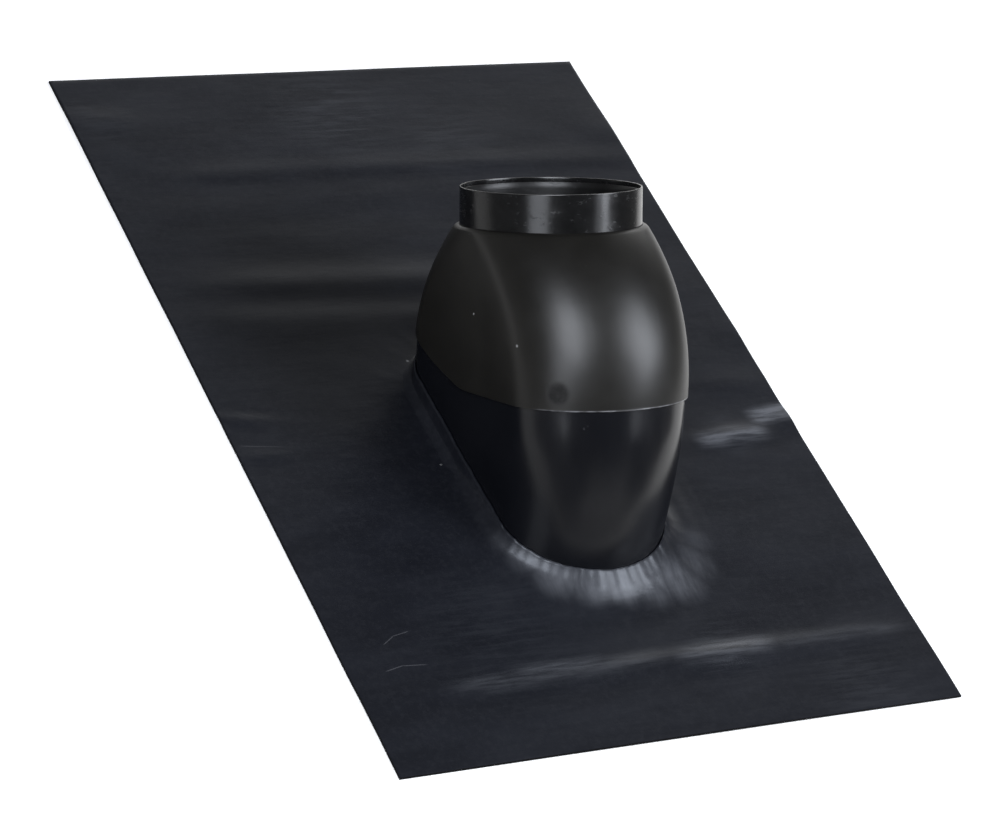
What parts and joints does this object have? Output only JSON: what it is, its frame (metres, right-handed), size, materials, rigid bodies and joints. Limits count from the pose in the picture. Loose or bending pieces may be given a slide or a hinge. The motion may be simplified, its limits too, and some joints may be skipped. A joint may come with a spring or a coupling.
{
  "type": "pipe flashing boot",
  "caption": "Pitched-roof pipe flashing boot: pliable flat sheet, slanted oval base shell, domed hood over it and an upright round collar for the pipe.",
  "frame": {"origin": "middle of the sheet's underside, at the bottom of the whole part", "axes": "+Z out of the roof, normal to the sheet; +Y up the roof slope, along the sheet's long side; +X across the slope. The pipe's axis leans from +Z towards +Y by the roof pitch, 38.66 degrees."},
  "size_m": [0.48, 0.7, 0.2153],
  "materials": {
    "sheet": "satin pliable flashing sheet, dark charcoal",
    "base_plastic": "gloss black",
    "hood_plastic": "matte warm black, fine grain",
    "collar_plastic": "gloss black"
  },
  "bodies": {
    "root": {"flashing_sheet": "sheet", "base_shell": "base_plastic", "hood": "hood_plastic", "pipe_collar": "collar_plastic"}
  },
  "joints": []
}
